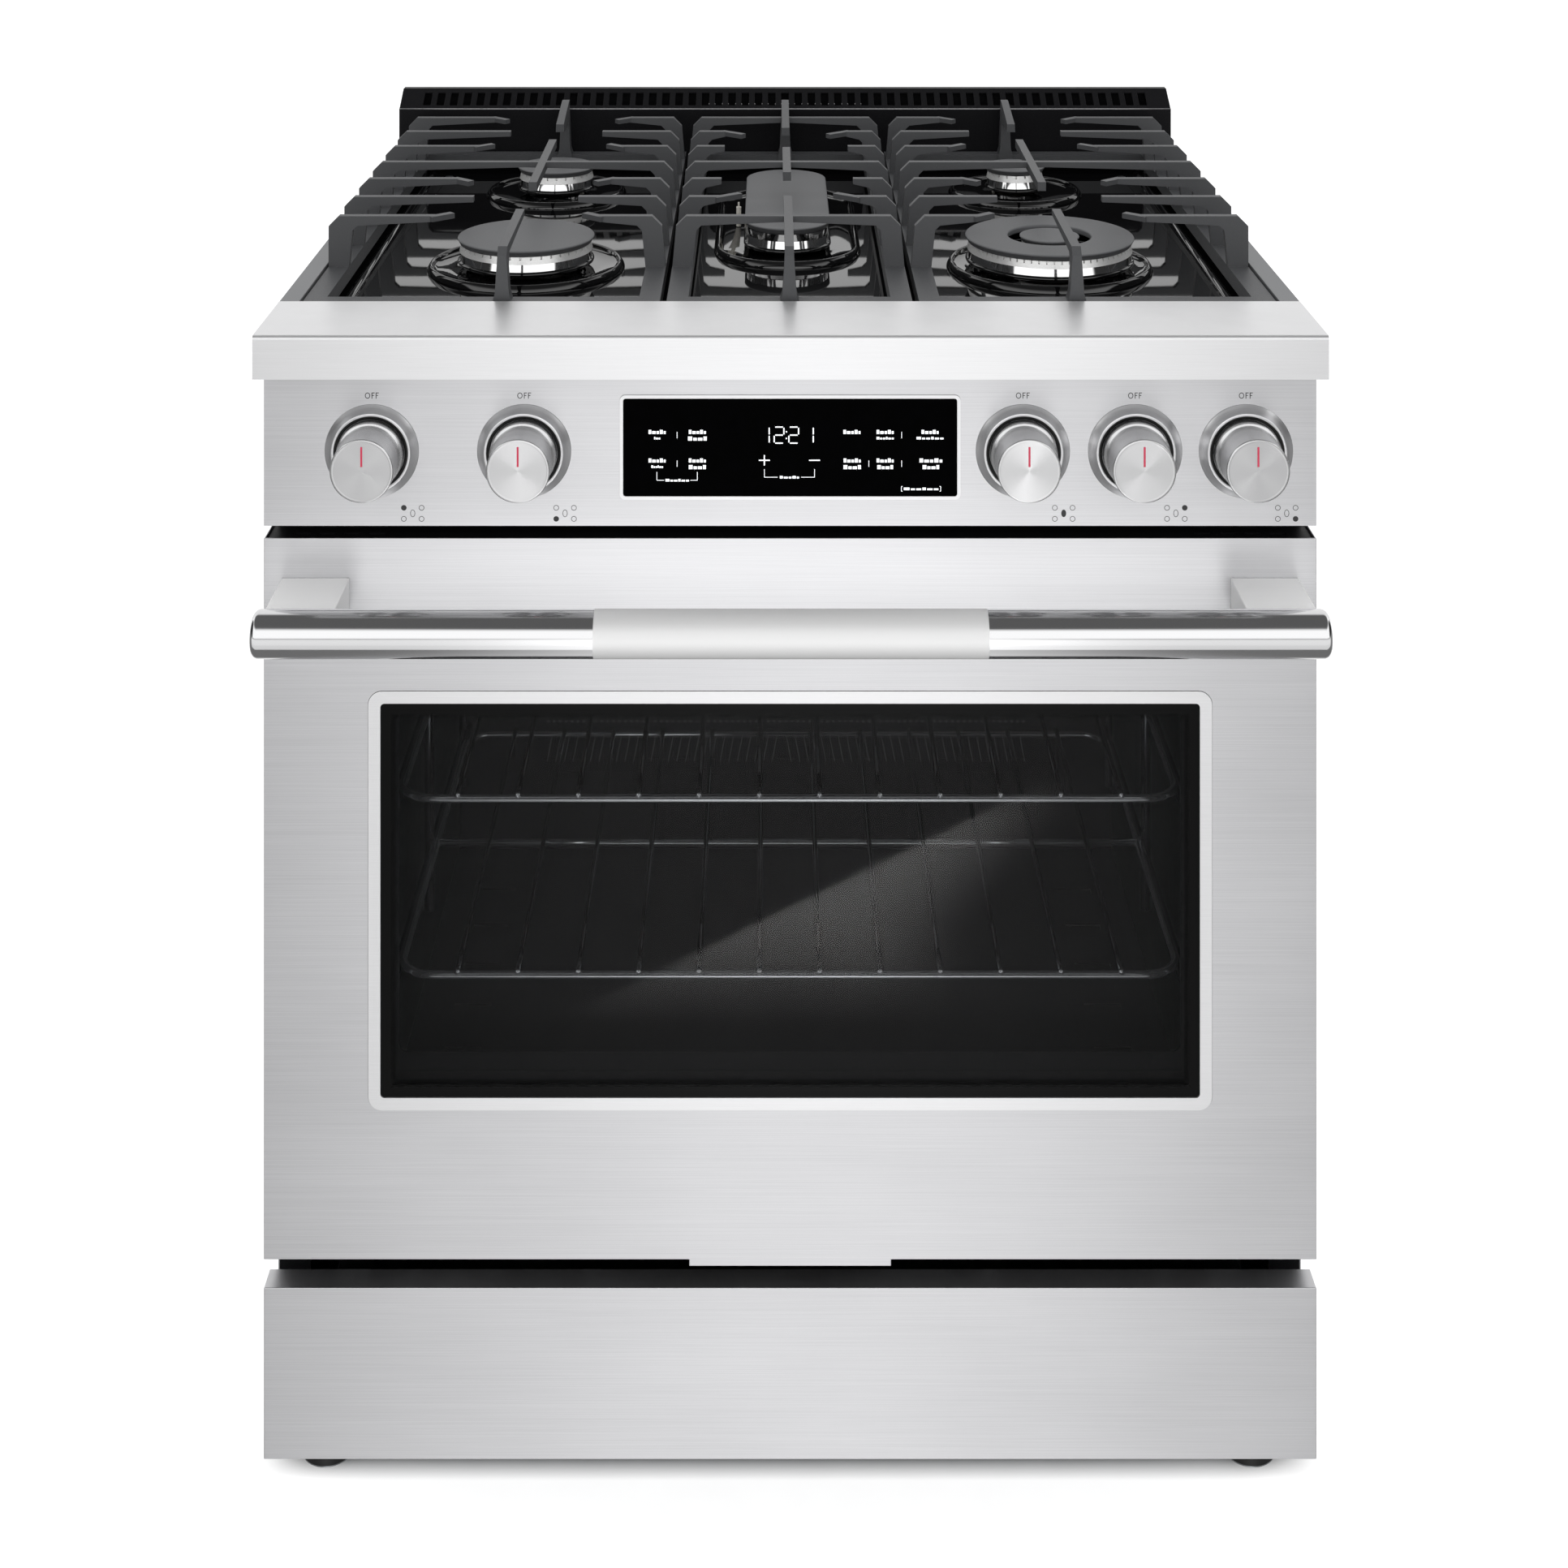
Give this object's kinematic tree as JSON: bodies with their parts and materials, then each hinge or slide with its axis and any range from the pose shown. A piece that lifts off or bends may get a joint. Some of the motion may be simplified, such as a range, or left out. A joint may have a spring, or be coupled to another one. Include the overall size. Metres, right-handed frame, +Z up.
{
  "type": "freestanding gas range",
  "caption": "Freestanding gas range with sealed burners under cast grates, a front control panel with knobs, a drop-down convection oven door and a storage drawer.",
  "frame": {"origin": "middle of the footprint, on the floor under the feet", "axes": "+Z up, front of the range towards -Y, +X to the right seen from the front"},
  "size_m": [0.76, 0.7222, 0.9686],
  "materials": {
    "stainless": "brushed stainless sheet, horizontal grain",
    "stainless_trim": "fine brushed stainless",
    "handle_steel": "polished stainless tube",
    "knob_metal": "turned and spun metal",
    "side_paint": "silver grey painted sheet",
    "galvanised": "zinc coated sheet",
    "cavity_enamel": "dark porcelain enamel",
    "pan_enamel": "glossy black porcelain enamel",
    "cap_enamel": "matte black enamel",
    "vent_black": "satin black paint",
    "cast_iron": "enamelled cast iron, satin",
    "burner_metal": "die-cast aluminium",
    "chrome_wire": "chrome plated wire",
    "steel": "zinc plated steel",
    "brass": "machined brass",
    "gas_tube": "drawn tube",
    "window_glass": "tinted tempered glass",
    "inner_glass": "clear tempered glass",
    "display_glass": "black touch glass",
    "plastic": "moulded black plastic",
    "ceramic": "glazed ceramic",
    "insulation": "glass wool blanket",
    "gasket": "woven glass fibre braid",
    "motor": "pressed steel can"
  },
  "bodies": {
    "root": {"left_side_panel": "side_paint", "right_side_panel": "side_paint", "rear_panel": "galvanised", "base_frame": "galvanised", "leveling_legs": "steel", "front_frame": "vent_black", "oven_liner": "cavity_enamel", "oven_floor": "cavity_enamel", "insulation_wrap": "insulation", "cooktop_pan": "pan_enamel", "front_rail": "stainless_trim", "cooktop_trims": "stainless_trim", "vent_trim": "vent_black", "control_panel": "stainless", "display_glass": "display_glass", "display_bezel": "stainless_trim", "control_board": "plastic", "gas_piping": "gas_tube", "burner_valves": "brass", "knob_bezels": "knob_metal", "burner_bases": "pan_enamel", "burner_heads": "burner_metal", "burner_caps": "cap_enamel", "spark_electrodes": "ceramic", "bake_burner": "steel", "broil_burner": "steel", "fan_cover": "cavity_enamel", "fan_motor": "motor", "rack_guides": "chrome_wire", "hinge_brackets": "steel", "hinge_pins": "steel", "door_gasket": "gasket", "drawer_slides": "steel", "panel_screws": "steel"},
    "door": {"door_skin": "stainless", "door_window": "window_glass", "window_trim": "stainless_trim", "door_liner": "cavity_enamel", "door_inner_glass": "inner_glass", "door_top_vent": "vent_black", "handle_bar": "handle_steel", "handle_standoffs": "stainless_trim"},
    "drawer": {"drawer_front": "stainless", "drawer_tub": "galvanised"},
    "fan": {"convection_fan": "steel"},
    "top_rack": {"upper_rack": "chrome_wire"},
    "bottom_rack": {"lower_rack": "chrome_wire"},
    "grate_left": {"left_grate": "cast_iron"},
    "grate_centre": {"centre_grate": "cast_iron"},
    "grate_right": {"right_grate": "cast_iron"},
    "stem_1": {"valve_stem_1": "steel"},
    "knob_body_1": {"knob_1": "knob_metal"},
    "stem_2": {"valve_stem_2": "steel"},
    "knob_body_2": {"knob_2": "knob_metal"},
    "stem_3": {"valve_stem_3": "steel"},
    "knob_body_3": {"knob_3": "knob_metal"},
    "stem_4": {"valve_stem_4": "steel"},
    "knob_body_4": {"knob_4": "knob_metal"},
    "stem_5": {"valve_stem_5": "steel"},
    "knob_body_5": {"knob_5": "knob_metal"}
  },
  "joints": [
    {"name": "door_hinge", "type": "hinge", "parent": "root", "child": "door", "pos_m": [0, -0.25885, 0.2482], "axis": [1, 0, 0], "range_deg": [0, 90]},
    {"name": "drawer_slide", "type": "slide", "parent": "root", "child": "drawer", "axis": [0, -1, 0], "range_m": [0, 0.35]},
    {"name": "fan_spin", "type": "hinge", "parent": "root", "child": "fan", "pos_m": [0, 0.20115, 0.495], "axis": [0, 1, 0], "continuous": true},
    {"name": "upper_rack_slide", "type": "slide", "parent": "root", "child": "top_rack", "axis": [0, -1, 0], "range_m": [0, 0.014]},
    {"name": "lower_rack_slide", "type": "slide", "parent": "root", "child": "bottom_rack", "axis": [0, -1, 0], "range_m": [0, 0.014]},
    {"name": "left_grate_lift", "type": "slide", "parent": "root", "child": "grate_left", "axis": [0, 0, 1], "range_m": [0, 0.08]},
    {"name": "centre_grate_lift", "type": "slide", "parent": "root", "child": "grate_centre", "axis": [0, 0, 1], "range_m": [0, 0.08]},
    {"name": "right_grate_lift", "type": "slide", "parent": "root", "child": "grate_right", "axis": [0, 0, 1], "range_m": [0, 0.08]},
    {"name": "knob_turn_1", "type": "hinge", "parent": "root", "child": "stem_1", "pos_m": [-0.302, -0.27885, 0.82], "axis": [0, -1, 0], "range_deg": [0, 210]},
    {"name": "knob_push_1", "type": "slide", "parent": "stem_1", "child": "knob_body_1", "axis": [0, 1, 0], "range_m": [0, 0.003], "stiffness_N_per_m": 1500},
    {"name": "knob_turn_2", "type": "hinge", "parent": "root", "child": "stem_2", "pos_m": [-0.192, -0.27885, 0.82], "axis": [0, -1, 0], "range_deg": [0, 210]},
    {"name": "knob_push_2", "type": "slide", "parent": "stem_2", "child": "knob_body_2", "axis": [0, 1, 0], "range_m": [0, 0.003], "stiffness_N_per_m": 1500},
    {"name": "knob_turn_3", "type": "hinge", "parent": "root", "child": "stem_3", "pos_m": [0.168, -0.27885, 0.82], "axis": [0, -1, 0], "range_deg": [0, 210]},
    {"name": "knob_push_3", "type": "slide", "parent": "stem_3", "child": "knob_body_3", "axis": [0, 1, 0], "range_m": [0, 0.003], "stiffness_N_per_m": 1500},
    {"name": "knob_turn_4", "type": "hinge", "parent": "root", "child": "stem_4", "pos_m": [0.249, -0.27885, 0.82], "axis": [0, -1, 0], "range_deg": [0, 210]},
    {"name": "knob_push_4", "type": "slide", "parent": "stem_4", "child": "knob_body_4", "axis": [0, 1, 0], "range_m": [0, 0.003], "stiffness_N_per_m": 1500},
    {"name": "knob_turn_5", "type": "hinge", "parent": "root", "child": "stem_5", "pos_m": [0.329, -0.27885, 0.82], "axis": [0, -1, 0], "range_deg": [0, 210]},
    {"name": "knob_push_5", "type": "slide", "parent": "stem_5", "child": "knob_body_5", "axis": [0, 1, 0], "range_m": [0, 0.003], "stiffness_N_per_m": 1500}
  ]
}
